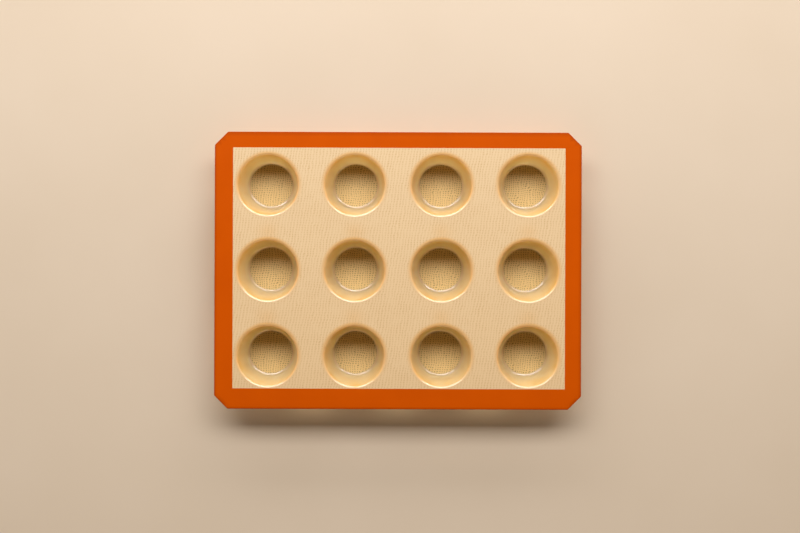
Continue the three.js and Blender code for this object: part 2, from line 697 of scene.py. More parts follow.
class ShaderGraph(NodeGraph):
    """A material's nodes, round one principled shader. It reads its place on the piece, in metres."""

    def __init__(self, name: str) -> None:
        """Starts a material.

        Args:
            name: The material's name.
        """
        self.material = bpy.data.materials.new(name)
        self.material.use_nodes = True
        super().__init__(self.material.node_tree)
        self.output = self.node("ShaderNodeOutputMaterial")
        self.shader = self.node("ShaderNodeBsdfPrincipled")
        self.feed(self.output.inputs["Surface"], self.shader.outputs["BSDF"])
        self.place = self.step("ShaderNodeTexCoord", {}, output="Object")

    def set(self, socket: str, value: Fed) -> None:
        """Sets or links one of the shader's own sockets."""
        self.feed(self.shader.inputs[socket], value)

    def trait(self, trait: Trait, vector: bool = False) -> Socket:
        """Reads a value that the mesh carries."""
        output = "Vector" if vector else "Fac"
        return self.step("ShaderNodeAttribute", {}, output=output, attribute_name=trait.value)

    def noise(
        self, size: float, limits: Limits | None = None, detail: float = 2.0, place: Socket | None = None
    ) -> Socket:
        """Adds a noise whose features have about the given size.

        Args:
            size: Size of its features, in metres.
            limits: Its lowest and its highest value, if not 0 and 1.
            detail: Number of finer layers.
            place: Where it is read, if not at the place on the piece.

        Returns:
            The noise.
        """
        where = self.place if place is None else place
        inputs = {"Vector": where, "Scale": 1 / size, "Detail": detail}
        noise = self.step("ShaderNodeTexNoise", inputs)
        return noise if limits is None else self.spread(noise, *limits)

    def from_middle(self, axis: Socket, pitch: float, first: float) -> Socket:
        """Gives the distance along an axis from the nearest of evenly spaced middles.

        Args:
            axis: The place along the axis, in metres.
            pitch: Distance between two middles.
            first: Place of one of them.

        Returns:
            The distance, below 0 on the side of the axis's start.
        """
        turns = self.math("DIVIDE", self.math("SUBTRACT", axis, first - pitch / 2), pitch)
        part = self.math("SUBTRACT", self.math("FRACT", turns), 0.5)
        return self.math("MULTIPLY", part, pitch)

    def keep_of_bounces(self, colour: Socket, kept: Colour, share: Socket) -> Socket:
        """Darkens what a thin wall throws onto other surfaces, as the rest leaves on its far side.

        Args:
            colour: The wall's own colour.
            kept: Share of the light that is thrown back.
            share: How far the surface is such a wall.

        Returns:
            The colour, darker where diffuse light comes from.
        """
        thrown = self.math("MULTIPLY", self.light_path("Is Diffuse Ray"), share)
        return self.blend(thrown, colour, kept, kind="MULTIPLY")

    def pass_light(self, colour: Colour) -> None:
        """Lets some of the lamps' light through the surface, so that it reaches what lies under it.

        Args:
            colour: Share of the light that one surface lets through.
        """
        clear = self.step("ShaderNodeBsdfTransparent", {"Color": colour})
        shadow = self.light_path("Is Shadow Ray")
        both = self.mix_shaders(shadow, self.shader.outputs["BSDF"], clear)
        self.feed(self.output.inputs["Surface"], both)

    def bump(self, height: Socket, depth: float, under: Socket | None = None) -> Socket:
        """Adds a bump.

        Args:
            height: Height of the bump, from 0 to 1.
            depth: Its depth in metres.
            under: The normal that it lies on.

        Returns:
            The bumped normal.
        """
        inputs = {"Distance": depth, "Height": height}
        if under is not None:
            inputs["Normal"] = under
        return self.step("ShaderNodeBump", inputs)


@dataclass(frozen=True)
class WeaveMap:
    """What a drawn weave gives: 1 in the gaps between its bundles, and its height."""

    warp_gap: Socket
    weft_gap: Socket
    height: Socket


@dataclass(frozen=True)
class Weave:
    """A weave of flat bundles of glass yarn, seen through silicone."""

    warp_pitch: float = 3.3 * MM
    weft_pitch: float = 2.6 * MM
    slant: float = 0.16
    stray: float = 1.2
    stray_size: float = 30 * MM
    tremor: float = 0.8
    tremor_size: float = 5 * MM
    crossings: float = 0.5
    yarns: float = 3
    yarn_height: float = 0.06
    gap_sharpness: float = 1.6

    def draw(self, graph: ShaderGraph, place: Socket) -> WeaveMap:
        """Draws the weave.

        Args:
            graph: The material's nodes.
            place: Where the cloth lies, in metres.

        Returns:
            The drawn weave.
        """
        x, y, _ = graph.split(place)
        long_drift = self.drift(graph, place, self.stray, self.stray_size)
        drift = graph.math("ADD", long_drift, self.drift(graph, place, self.tremor, self.tremor_size))
        leaning = graph.math("SUBTRACT", x, graph.math("MULTIPLY", y, self.slant))
        warp = graph.math("ADD", graph.math("DIVIDE", leaning, self.warp_pitch), drift)
        weft = graph.math("ADD", graph.math("DIVIDE", y, self.weft_pitch), drift)
        warp_gap = self.gap(graph, warp)
        weft_gap = self.gap(graph, weft)
        warp_wave = self.wave(graph, warp, self.crossings)
        over = graph.math("MULTIPLY", warp_wave, self.wave(graph, weft, self.crossings))
        warp_rise = self.rise(graph, warp_gap, graph.math("ADD", 0.5, over))
        weft_rise = self.rise(graph, weft_gap, graph.math("SUBTRACT", 0.5, over))
        yarn = graph.math("MULTIPLY", self.wave(graph, warp, self.yarns), self.yarn_height)
        height = graph.math("ADD", graph.math("MAXIMUM", warp_rise, weft_rise), yarn)
        return WeaveMap(warp_gap, weft_gap, height)

    @staticmethod
    def drift(graph: ShaderGraph, place: Socket, bundles: float, size: float) -> Socket:
        """Gives how far the bundles stray from their place, counted in bundles."""
        return graph.noise(size, (-bundles / 2, bundles / 2), detail=1, place=place)

    @staticmethod
    def wave(graph: ShaderGraph, turns: Socket, rate: float) -> Socket:
        """Gives a sine wave between -0.5 and 0.5, with as many turns to a bundle as the rate."""
        angle = graph.math("MULTIPLY", turns, 2 * math.pi * rate)
        return graph.math("MULTIPLY", graph.math("SINE", angle), 0.5)

    @staticmethod
    def rise(graph: ShaderGraph, gap: Socket, level: Socket) -> Socket:
        """Gives the height of a bundle that lies at a level and falls off into its gaps."""
        return graph.math("MULTIPLY", graph.math("SUBTRACT", 1.0, gap), level)

    def gap(self, graph: ShaderGraph, turns: Socket) -> Socket:
        """Gives 1 between two bundles and 0 on the middle of one."""
        wave = graph.math("COSINE", graph.math("MULTIPLY", turns, 2 * math.pi))
        half = graph.math("MULTIPLY", graph.math("ADD", wave, 1.0), 0.5)
        return graph.math("POWER", half, self.gap_sharpness)


@dataclass(frozen=True)
class TanSilicone:
    """Tan silicone over woven glass: matt and grained when flat, smoother where it is drawn."""

    thread: Colour = srgb(229, 199, 157)
    pale: Colour = srgb(235, 208, 170)
    gap: Colour = srgb(202, 162, 112)
    # Warm marks, and painted shade towards the front and round the back of each lip.
    marked_and_shaded_tone: Colour = srgb(226, 176, 112)
    drawn: Colour = srgb(255, 186, 125)
    tinged: Colour = srgb(255, 172, 95)
    # Painted light: the paler lower wall.
    foot: Colour = srgb(255, 203, 154)
    floor_body: Colour = srgb(244, 211, 150)
    pit: Colour = srgb(150, 108, 52)
    cloud_size: float = 45 * MM
    cloud_share: Limits = (0.0, 0.35)
    # Painted shade round each lip, strongest on its back side, which turns away from the lamps.
    halo_reach: float = 3.5 * MM
    halo_falloff: float = 1.5
    halo_tone: float = 0.5
    halo_lean: float = 0.45
    web_weave: Weave = Weave()
    warp_patch: float = 12 * MM
    warp_showing: Limits = (-0.1, 1.3)
    weft_showing_below: float = 0.35
    dash_depth: Limits = (0.3, 1.0)
    floor_weave: Weave = Weave(
        warp_pitch=2.8 * MM, weft_pitch=2.25 * MM, slant=0.1, stray=2.2, stray_size=14 * MM
    )
    pit_patch: float = 5 * MM
    pit_showing: Limits = (0.2, 1.5)
    drawn_share: float = 0.9
    tinge_size: float = 20 * MM
    tinge_showing: Limits = (-1.0, 2.0)
    painted_glow_reach: float = 30 * MM
    weave_depth: float = 0.07 * MM
    skin_size: float = 1.1 * MM
    skin_depth: float = 0.02 * MM
    smoothed: float = 0.9
    flat_roughness: float = 0.46
    drawn_roughness: float = 0.42
    blotch_size: float = 9 * MM
    blotch: Limits = (-0.03, 0.03)
    ior: float = SILICONE_IOR
    bend_roughness: float = 0.05
    bend_ior: float = 1.8
    bloom: float = 0.1
    bloom_roughness: float = 0.4
    glow: float = 0.9
    glow_reach: float = 8 * MM
    glow_colour: tuple[float, float, float] = (1.0, 0.97, 0.8)
    passed: Colour = PASSED_LIGHT
    thrown_back: Colour = (0.53, 0.7, 0.3, 1.0)

    def material(self, form: Form, layout: SheetLayout) -> bpy.types.Material:
        """Builds the finish.

        Args:
            form: Whether it is for the flat web or for a formed cup.
            layout: Where the cups lie.

        Returns:
            The material.
        """
        graph = ShaderGraph(f"tan_silicone_{form.value}")
        cloth = graph.trait(Trait.CLOTH, vector=True)
        film = self.film(graph, layout)
        if form is Form.WEB:
            weave = self.web_weave.draw(graph, cloth)
            self.dress_web(graph, film, weave)
        else:
            weave = self.floor_weave.draw(graph, cloth)
            self.dress_cup(graph, film, weave)
        self.dress_skin(graph, weave)
        return graph.material

    def film(self, graph: ShaderGraph, layout: SheetLayout) -> Socket:
        """Gives the flat film's colour: cloudy, with warm marks and painted shade.

        Args:
            graph: The material's nodes.
            layout: Where the cups lie.

        Returns:
            The colour.
        """
        body = graph.blend(graph.noise(self.cloud_size, self.cloud_share), self.thread, self.pale)
        # Painted shade round each lip, strongest behind it.
        lip_shade = self.painted_lip_shade(graph, layout)
        warm = graph.math("ADD", graph.trait(Trait.WARM_MARKS_AND_SHADE), lip_shade, clamp=True)
        return graph.blend(warm, body, self.marked_and_shaded_tone)

    def painted_lip_shade(self, graph: ShaderGraph, layout: SheetLayout) -> Socket:
        """Gives painted shade on the film round a lip, a warmer and darker tone, strongest behind the cup,
        where the lip turns away from the lamps.

        Args:
            graph: The material's nodes.
            layout: Where the cups lie.

        Returns:
            The share of the painted shade.
        """
        x, y, _ = graph.split(graph.place)
        pitch_x, pitch_y = layout.pitch()
        across = graph.from_middle(x, pitch_x, layout.cups[0].x)
        along = graph.from_middle(y, pitch_y, layout.cups[0].y)
        squares = graph.math("ADD", graph.math("POWER", across, 2.0), graph.math("POWER", along, 2.0))
        away = graph.math("SQRT", squares)
        inside = graph.math("SUBTRACT", layout.rim_radius + self.halo_reach, away)
        near = graph.math("DIVIDE", inside, self.halo_reach, clamp=True)
        behind = graph.math("MULTIPLY", graph.math("DIVIDE", along, away), self.halo_lean)
        share = graph.math("ADD", behind, self.halo_tone, clamp=True)
        return graph.math("MULTIPLY", graph.math("POWER", near, self.halo_falloff), share)

    def dress_web(self, graph: ShaderGraph, film: Socket, weave: WeaveMap) -> None:
        """Dresses the flat web, where the warp shows in patches and the weft between them.

        Args:
            graph: The material's nodes.
            film: The flat film's colour.
            weave: The web's weave.
        """
        showing = graph.noise(self.warp_patch, self.warp_showing, detail=3)
        dashes = graph.math("MULTIPLY", weave.warp_gap, graph.spread(weave.weft_gap, *self.dash_depth))
        upright = graph.math("MULTIPLY", dashes, showing, clamp=True)
        hidden = graph.math("SUBTRACT", self.weft_showing_below, showing, clamp=True)
        level = graph.math("MULTIPLY", weave.weft_gap, hidden)
        grain = graph.math("ADD", upright, level, clamp=True)
        graph.set("Base Color", graph.blend(grain, film, self.gap))
        graph.pass_light(self.passed)

    def dress_cup(self, graph: ShaderGraph, film: Socket, weave: WeaveMap) -> None:
        """Dresses a cup: a drawn wall that glows, with painted light that makes it paler towards the foot,
        and a floor with pits in its weave.

        Args:
            graph: The material's nodes.
            film: The flat film's colour.
            weave: The floor's weave.
        """
        wall = graph.trait(Trait.WALL)
        floor = graph.trait(Trait.FLOOR)
        body = graph.blend(graph.math("MULTIPLY", wall, self.drawn_share), film, self.drawn)
        tinge = graph.noise(self.tinge_size, self.tinge_showing)
        body = graph.blend(graph.math("MULTIPLY", tinge, wall, clamp=True), body, self.tinged)
        # Painted light: the wall is paler towards its foot, for the brighter light there.
        _, _, height = graph.split(graph.place)
        above = graph.math("DIVIDE", height, self.painted_glow_reach)
        lower = graph.math("SUBTRACT", 1.0, above, clamp=True)
        body = graph.blend(graph.math("MULTIPLY", lower, wall), body, self.foot)
        body = graph.blend(floor, body, self.floor_body)
        patchy = graph.noise(self.pit_patch, self.pit_showing)
        open_weave = graph.math("MULTIPLY", weave.warp_gap, weave.weft_gap)
        pits = graph.math("MULTIPLY", graph.math("MULTIPLY", open_weave, patchy), floor, clamp=True)
        body = graph.blend(pits, body, self.pit)
        graph.set("Base Color", graph.keep_of_bounces(body, self.thrown_back, wall))
        graph.set("Coat Weight", graph.trait(Trait.BEND))
        graph.set("Coat Roughness", self.bend_roughness)
        graph.set("Coat IOR", self.bend_ior)
        graph.set("Sheen Weight", self.bloom)
        graph.set("Sheen Roughness", self.bloom_roughness)
        graph.set("Subsurface Weight", graph.math("MULTIPLY", wall, self.glow))
        graph.set("Subsurface Radius", self.glow_colour)
        graph.set("Subsurface Scale", self.glow_reach)

    def dress_skin(self, graph: ShaderGraph, weave: WeaveMap) -> None:
        """Gives the surface its relief and its gloss.

        Args:
            graph: The material's nodes.
            weave: The weave under the skin.
        """
        gloss = graph.trait(Trait.GLOSS)
        matt = graph.math("SUBTRACT", 1.0, graph.math("MULTIPLY", gloss, self.smoothed))
        woven = graph.bump(graph.math("MULTIPLY", weave.height, matt), self.weave_depth)
        skin = graph.math("MULTIPLY", graph.noise(self.skin_size), matt)
        graph.set("Normal", graph.bump(skin, self.skin_depth, woven))
        rough = graph.spread(gloss, self.flat_roughness, self.drawn_roughness)
        graph.set("Roughness", graph.math("ADD", rough, graph.noise(self.blotch_size, self.blotch)))
        graph.set("IOR", self.ior)


@dataclass(frozen=True)
class OrangeSilicone:
    """The band's coloured silicone, faintly printed by the cloth, dulled at its edge."""

    body: Colour = srgb(208, 85, 0)
    deep: Colour = srgb(195, 76, 0)
    dulled: Colour = srgb(150, 54, 0)
    cloud_size: float = 35 * MM
    cloud_share: Limits = (0.1, 0.9)
    dull_size: float = 6 * MM
    dull_share: Limits = (0.5, 1.0)
    weave: Weave = Weave()
    print_depth: float = 0.02 * MM
    skin_size: float = 0.9 * MM
    skin_depth: float = 0.02 * MM
    roughness: Limits = (0.38, 0.52)
    blotch_size: float = 12 * MM
    ior: float = SILICONE_IOR
    shine: float = 0.06

    def material(self) -> bpy.types.Material:
        """Builds the finish.

        Returns:
            The material.
        """
        graph = ShaderGraph("orange_silicone")
        cloudy = graph.noise(self.cloud_size, self.cloud_share, detail=3)
        colour = graph.blend(cloudy, self.body, self.deep)
        # Darker in uneven patches along the outer edge.
        uneven = graph.noise(self.dull_size, self.dull_share, detail=3)
        edge_darkening = graph.math("MULTIPLY", graph.trait(Trait.OUTER_EDGE), uneven, clamp=True)
        graph.set("Base Color", graph.blend(edge_darkening, colour, self.dulled))
        printed = graph.bump(self.weave.draw(graph, graph.place).height, self.print_depth)
        graph.set("Normal", graph.bump(graph.noise(self.skin_size), self.skin_depth, printed))
        graph.set("Roughness", graph.noise(self.blotch_size, self.roughness, detail=3))
        graph.set("IOR", self.ior)
        graph.set("Specular IOR Level", self.shine)
        return graph.material


@dataclass(frozen=True)
class WovenGlass:
    """Bare woven glass, as it lies between the two coats."""

    thread: Colour = srgb(238, 230, 211)
    gap: Colour = srgb(190, 170, 136)
    passed: Colour = PASSED_LIGHT
    weave: Weave = Weave()
    weave_depth: float = 0.15 * MM
    roughness: float = 0.8

    def material(self) -> bpy.types.Material:
        """Builds the finish.

        Returns:
            The material.
        """
        graph = ShaderGraph("woven_glass")
        weave = self.weave.draw(graph, graph.place)
        open_gap = graph.math("MAXIMUM", weave.warp_gap, weave.weft_gap)
        graph.set("Base Color", graph.blend(open_gap, self.thread, self.gap))
        graph.set("Normal", graph.bump(weave.height, self.weave_depth))
        graph.set("Roughness", self.roughness)
        graph.pass_light(self.passed)
        return graph.material


@dataclass(frozen=True)
class TablePaint:
    """The plain pale table under the mould."""

    body: Colour = srgb(222, 203, 182)
    shade: Colour = srgb(214, 194, 171)
    mottle_size: float = 180 * MM
    roughness: float = 0.7

    def material(self) -> bpy.types.Material:
        """Builds the finish.

        Returns:
            The material.
        """
        graph = ShaderGraph("pale_table")
        mottle = graph.noise(self.mottle_size, detail=3)
        graph.set("Base Color", graph.blend(mottle, self.body, self.shade))
        graph.set("Roughness", self.roughness)
        return graph.material


# Cups


def ramp(value: float, start: float, end: float) -> float:
    """Gives 0 up to a start, 1 from an end on, and a straight rise between them."""
    return min(max((value - start) / (end - start), 0.0), 1.0)


@dataclass(frozen=True)
class SectionPoint:
    """One point of a cup's section, with its shares of wall, floor, gloss and bend."""

    radius: float
    height: float
    wall: float = 0.0
    floor: float = 0.0
    gloss: float = 0.0
    bend: float = 0.0


@dataclass
class CupSection:
    """The section of a formed cup: floor, foot fillet, tapered wall, lip fillet and a flat rim."""

    layout: SheetLayout
    floor_radius: float = 22.7 * MM
    foot_fillet: float = 4.2 * MM
    lip_fillet: float = 2.5 * MM
    flat_rim: float = 0.4 * MM
    foot_drawn: Limits = (0.1, 0.3)
    foot_gloss: Limits = (0.0, 1 / 7)
    lip_gloss: Limits = (0.0, 0.2)
    bend_reach: float = 0.5
    wall_bend: float = 0.35
    drawn_outside: float = 0.45
    fillet_steps: int = 10
    wall_steps: int = 7
    floor_steps: int = 5

    def wall_taper(self) -> float:
        """Gives the angle of the straight wall, which runs from one fillet into the other."""
        across = self.layout.rim_radius - self.floor_radius
        fillets = self.lip_fillet + self.foot_fillet
        up = self.layout.web_top - self.layout.laminate - fillets
        return math.acos(fillets / math.hypot(across, up)) - math.atan2(up, across)

    def bend(self, gloss: float, from_wall: float) -> float:
        """Gives a fillet's share of bend, by its gloss and how far round it lies from the wall."""
        return gloss * min(from_wall / self.bend_reach + self.wall_bend, 1.0)

    def face(self, outwards: float) -> list[SectionPoint]:
        """Gives one face of the laminate, from the axis out to the rim.

        Args:
            outwards: Distance of this face behind the food face.

        Returns:
            The face's points.
        """
        laminate = self.layout.laminate
        web_top = self.layout.web_top
        foot_centre = (self.floor_radius, laminate + self.foot_fillet)
        lip_centre = (self.layout.rim_radius, web_top - self.lip_fillet)
        taper = self.wall_taper()
        foot = arc(foot_centre, self.foot_fillet + outwards, -math.pi / 2, -taper, self.fillet_steps)
        lip = arc(lip_centre, self.lip_fillet - outwards, math.pi - taper, math.pi / 2, self.fillet_steps)
        points = []
        for step in range(self.floor_steps):
            radius = self.floor_radius * step / self.floor_steps
            points.append(SectionPoint(radius, laminate - outwards, floor=1.0))
        for step, (radius, height) in enumerate(foot):
            share = step / self.fillet_steps
            drawn = ramp(share, *self.foot_drawn)
            gloss = ramp(share, *self.foot_gloss)
            bend = self.bend(gloss, 1 - share)
            points.append(SectionPoint(radius, height, drawn, 1 - drawn, gloss, bend))
        low, high = foot[-1], lip[0]
        for step in range(1, self.wall_steps):
            share = step / self.wall_steps
            radius = low[0] + (high[0] - low[0]) * share
            height = low[1] + (high[1] - low[1]) * share
            points.append(SectionPoint(radius, height, wall=1.0, gloss=1.0, bend=self.wall_bend))
        for step, (radius, height) in enumerate(lip):
            share = step / self.fillet_steps
            gloss = ramp(1 - share, *self.lip_gloss)
            bend = self.bend(gloss, share)
            points.append(SectionPoint(radius, height, 1 - share, 0.0, gloss, bend))
        points.append(SectionPoint(self.layout.rim_radius + self.flat_rim, web_top - outwards))
        return points

    def outside(self, point: SectionPoint) -> SectionPoint:
        """Gives a point of the underside, which is duller and shows more of the weave.

        Args:
            point: The point with the food face's finish.

        Returns:
            The point with the underside's finish.
        """
        drawn = point.wall * self.drawn_outside
        woven = max(point.floor, point.wall - drawn)
        gloss = point.gloss * self.drawn_outside
        return replace(point, wall=drawn, floor=woven, gloss=gloss, bend=0.0)

    def mesh(self) -> bpy.types.Mesh:
        """Draws the section as a line for the cup's tree to turn, with its traits.

        The line lies in the XY plane as the tree takes it: X outwards from the turning circle, Y down.

        Returns:
            The section's mesh.
        """
        under = self.face(self.layout.laminate)
        food = self.face(0.0)
        give = [point.wall**2 for point in under + food[::-1]]
        runs = []
        for side in (under, food):
            steps = [0.0]
            for before, after in zip(side, side[1:]):
                steps.append(math.hypot(after.radius - before.radius, after.height - before.height))
            runs.append(np.cumsum(steps))
        whole = [self.outside(point) for point in under] + food[::-1]
        mesh = bpy.data.meshes.new("cup_section")
        points = [(point.radius - self.layout.rim_radius, -point.height, 0.0) for point in whole]
        mesh.from_pydata(points, [(k, k + 1) for k in range(len(points) - 1)], [])
        for trait in (Trait.WALL, Trait.FLOOR, Trait.GLOSS, Trait.BEND):
            store_value(mesh, trait, [getattr(point, trait.value) for point in whole])
        store_value(mesh, Trait.GIVE, give)
        store_value(mesh, Trait.RUN, np.concatenate([runs[0], runs[1][::-1]]))
        return mesh


class FormedCupTree(NodeGraph):
    """Geometry nodes that turn a section into one formed cup, each a little out of true."""

    weld = 0.001 * MM

    def __init__(self) -> None:
        """Builds the tree."""
        super().__init__(bpy.data.node_groups.new("Formed cup", "GeometryNodeTree"))
        self.sockets: dict[str, str] = {}
        face = self.tree.interface
        face.new_socket("Geometry", in_out="INPUT", socket_type="NodeSocketGeometry")
        for name, kind in (
            ("Sides", "NodeSocketInt"),
            ("Turning Radius", "NodeSocketFloat"),
            ("Centre", "NodeSocketVector"),
            ("Wobble", "NodeSocketFloat"),
            ("Wobble Size", "NodeSocketFloat"),
            ("Seed", "NodeSocketInt"),
            ("Finish", "NodeSocketMaterial"),
        ):
            self.sockets[name] = face.new_socket(name, in_out="INPUT", socket_type=kind).identifier
        face.new_socket("Geometry", in_out="OUTPUT", socket_type="NodeSocketGeometry")
        self.lay_nodes()

    def lay_nodes(self) -> None:
        """Lays the nodes: turn the section, close its poles, push the wall out of true, finish."""
        given = self.node("NodeGroupInput").outputs
        section = self.step("GeometryNodeMeshToCurve", {"Mesh": given["Geometry"]})
        ring = {"Resolution": given["Sides"], "Radius": given["Turning Radius"]}
        circle = self.step("GeometryNodeCurvePrimitiveCircle", ring, mode="RADIUS")
        cup = self.step("GeometryNodeCurveToMesh", {"Curve": circle, "Profile Curve": section})
        cup = self.step("GeometryNodeMergeByDistance", {"Geometry": cup, "Distance": self.weld})
        cup = self.step("GeometryNodeSetPosition", {"Geometry": cup, "Offset": self.offset(given)})
        cup = self.step("GeometryNodeSetShadeSmooth", {"Geometry": cup})
        cup = self.step("GeometryNodeRealizeInstances", {"Geometry": cup})
        cup = self.step("GeometryNodeSetMaterial", {"Geometry": cup, "Material": given["Finish"]})
        self.feed(self.node("NodeGroupOutput").inputs["Geometry"], cup)

    def offset(self, given: bpy.types.NodeOutputs) -> Socket:
        """Lays the nodes that move a cup to its place and push its wall sideways.

        Args:
            given: The tree's inputs.

        Returns:
            How far each point moves.
        """
        where = {
            "Vector": self.step("GeometryNodeInputPosition", {}),
            "Scale": self.math("DIVIDE", 1.0, given["Wobble Size"]),
            "W": given["Seed"],
            "Detail": 0.0,
        }
        noise = self.step("ShaderNodeTexNoise", where, output="Color", noise_dimensions="4D")
        centred = self.vector_math("SUBTRACT", noise, (0.5, 0.5, 0.5))
        level = self.vector_math("MULTIPLY", centred, (2.0, 2.0, 0.0))
        give = self.step("GeometryNodeInputNamedAttribute", {"Name": Trait.GIVE.value}, data_type="FLOAT")
        amount = self.math("MULTIPLY", give, given["Wobble"])
        pushed = self.step("ShaderNodeVectorMath", {"Vector": level, "Scale": amount}, operation="SCALE")
        return self.vector_math("ADD", pushed, given["Centre"])

    def vector_math(self, operation: str, first: Socket, second: tuple | Socket) -> Socket:
        """Adds a node that works on two vectors."""
        node = self.node("ShaderNodeVectorMath", operation=operation)
        self.feed(node.inputs[0], first)
        self.feed(node.inputs[1], second)
        return node.outputs[0]

    def turn(self, section: bpy.types.Mesh, values: dict[str, object]) -> bpy.types.Mesh:
        """Runs the tree once.

        Args:
            section: The section's mesh.
            values: The tree's inputs by name.

        Returns:
            The cup as a plain mesh.
        """
        carrier = bpy.data.objects.new("cup_carrier", section)
        bpy.context.scene.collection.objects.link(carrier)
        modifier = carrier.modifiers.new("Formed cup", "NODES")
        modifier.node_group = self.tree
        for name, value in values.items():
            modifier[self.sockets[name]] = value
        graph = bpy.context.evaluated_depsgraph_get()
        mesh = bpy.data.meshes.new_from_object(carrier.evaluated_get(graph), depsgraph=graph)
        carrier.modifiers.remove(modifier)
        bpy.data.objects.remove(carrier)
        return mesh


@dataclass
class CupGrid:
    """The formed cups."""

    layout: SheetLayout
    sag: SheetSag
    section: CupSection
    sides: int = 96
    wobble: float = 0.25 * MM
    wobble_size: float = 34 * MM
    seed: int = 11
    crease: float = math.radians(40)

    def rim_loop(self, place: CupPlace) -> Loop:
        """Gives the outer edge of a cup's flat rim, where the web begins."""
        radius = self.layout.rim_radius + self.section.flat_rim
        angles = [2 * math.pi * side / self.sides for side in range(self.sides)]
        return [(place.x + radius * math.cos(a), place.y + radius * math.sin(a)) for a in angles]

    def build(self, finish: bpy.types.Material, warm_marks_and_shade: WarmMarksAndShade) -> None:
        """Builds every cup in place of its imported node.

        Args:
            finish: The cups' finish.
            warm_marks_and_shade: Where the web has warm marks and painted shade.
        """
        tree = FormedCupTree()
        section = self.section.mesh()
        for index, place in enumerate(self.layout.cups):
            values = {
                "Sides": self.sides,
                "Turning Radius": self.layout.rim_radius,
                "Centre": (place.x, place.y, 0.0),
                "Wobble": self.wobble,
                "Wobble Size": self.wobble_size,
                "Seed": self.seed + index,
                "Finish": finish,
            }
            mesh = tree.turn(section, values)
            self.lay_cloth(mesh, place)
            points = points_of(mesh)
            store_value(mesh, Trait.WARM_MARKS_AND_SHADE, warm_marks_and_shade.at(points))
            move_points(mesh, self.sag.settle(points))
            self.face_outwards(mesh)
            shade_by_angle(mesh, self.crease)
            add_piece(f"formed_{place.node}", mesh, place.node)

    @staticmethod
    def lay_cloth(mesh: bpy.types.Mesh, place: CupPlace) -> None:
        """Stores where each point of a cup lay on the cloth before it was formed.

        Args:
            mesh: The cup's mesh.
            place: The cup's place.
        """
        points = points_of(mesh)
        around = np.arctan2(points[:, 1] - place.y, points[:, 0] - place.x)
        run = read_value(mesh, Trait.RUN)
        cloth = np.zeros_like(points)
        cloth[:, 0] = place.x + run * np.cos(around)
        cloth[:, 1] = place.y + run * np.sin(around)
        store_place(mesh, Trait.CLOTH, cloth)

    @staticmethod
    def face_outwards(mesh: bpy.types.Mesh) -> None:
        """Turns a closed mesh's faces outwards."""
        with edited(mesh) as work:
            if work.calc_volume(signed=True) < 0:
                bmesh.ops.reverse_faces(work, faces=work.faces)


# The flat web and its cloth


@dataclass(frozen=True)
class WarmMarksAndShade:
    """Warm marks on the web behind some cups, and painted shade that makes the web warmer and darker
    towards the front, away from the lamps.
    """

    layout: SheetLayout
    reach_x: float = 10 * MM
    reach_y: float = 9 * MM
    behind_lip: float = 7 * MM
    strength: float = 0.3
    painted_front_shade: float = 0.2
    height_power: int = 4

    def at(self, points: np.ndarray) -> np.ndarray:
        """Gives the share of warm marks and painted shade.

        Args:
            points: Points in the part's frame, one a row.

        Returns:
            A share from 0 to 1 for each point.
        """
        total = np.zeros(len(points))
        first_row = min(place.row for place in self.layout.cups)
        for place in self.layout.cups:
            if place.row == first_row:
                continue
            across = (points[:, 0] - place.x) / self.reach_x
            along = (points[:, 1] - place.y - self.layout.rim_radius - self.behind_lip) / self.reach_y
            total += np.exp(-(across**2) - along**2)
        _, front, _, back = self.layout.sheet
        # Painted shade: the web grows warmer and darker towards the front, away from the lamps.
        forward = np.clip((back - points[:, 1]) / (back - front), 0, 1)
        high = np.clip(points[:, 2] / self.layout.web_top, 0, 1) ** self.height_power
        return np.clip(total * self.strength + forward * self.painted_front_shade, 0, 1) * high


@dataclass
class FlatWeb:
    """The flat sheet between the cups: two silicone coats with the cloth between them."""

    layout: SheetLayout
    sag: SheetSag
    cups: CupGrid
    crease: float = math.radians(40)

    def build(self, tan: bpy.types.Material, glass: bpy.types.Material, warm_marks_and_shade: WarmMarksAndShade) -> None:
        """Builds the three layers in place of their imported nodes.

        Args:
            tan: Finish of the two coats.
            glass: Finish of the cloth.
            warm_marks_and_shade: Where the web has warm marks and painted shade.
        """
        window = self.layout.window_loop(SheetMesher.spacing)
        cloth_inset = self.layout.cloth[0] - self.layout.sheet[0]
        cloth = split_sides(self.layout.octagon(cloth_inset), SheetMesher.spacing)
        for node, outline, slot, finish in (
            ("face_coat", window, Slot.TAN, tan),
            ("glass_cloth", cloth, Slot.GLASS, glass),
            ("back_coat", window, Slot.TAN, tan),
        ):
            mesh = self.layer(node, outline)
            points = points_of(mesh)
            store_place(mesh, Trait.CLOTH, points)
            store_value(mesh, Trait.GLOSS, np.zeros(len(points)))
            store_value(mesh, Trait.WARM_MARKS_AND_SHADE, warm_marks_and_shade.at(points))
            move_points(mesh, self.sag.settle(points))
            shade_by_angle(mesh, self.crease)
            mesh.materials.append(finish)
            add_piece(f"web_{node}", mesh, node)

    def layer(self, node: str, outline: Loop) -> bpy.types.Mesh:
        """Makes one layer as a closed plate with a hole for each cup.

        Args:
            node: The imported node, which gives the layer's heights.
            outline: The layer's outline.

        Returns:
            The layer's mesh.
        """
        low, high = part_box(node)
        under = low.z if node == "back_coat" else low.z + self.layout.bond_line
        top = high.z if node == "face_coat" else high.z - self.layout.bond_line
        holes = [self.cups.rim_loop(place) for place in self.layout.cups]
        mesher = SheetMesher()
        mesher.add_plate(outline, holes, under, top)
        return mesher.to_mesh(f"web_{node}")


# The edge band


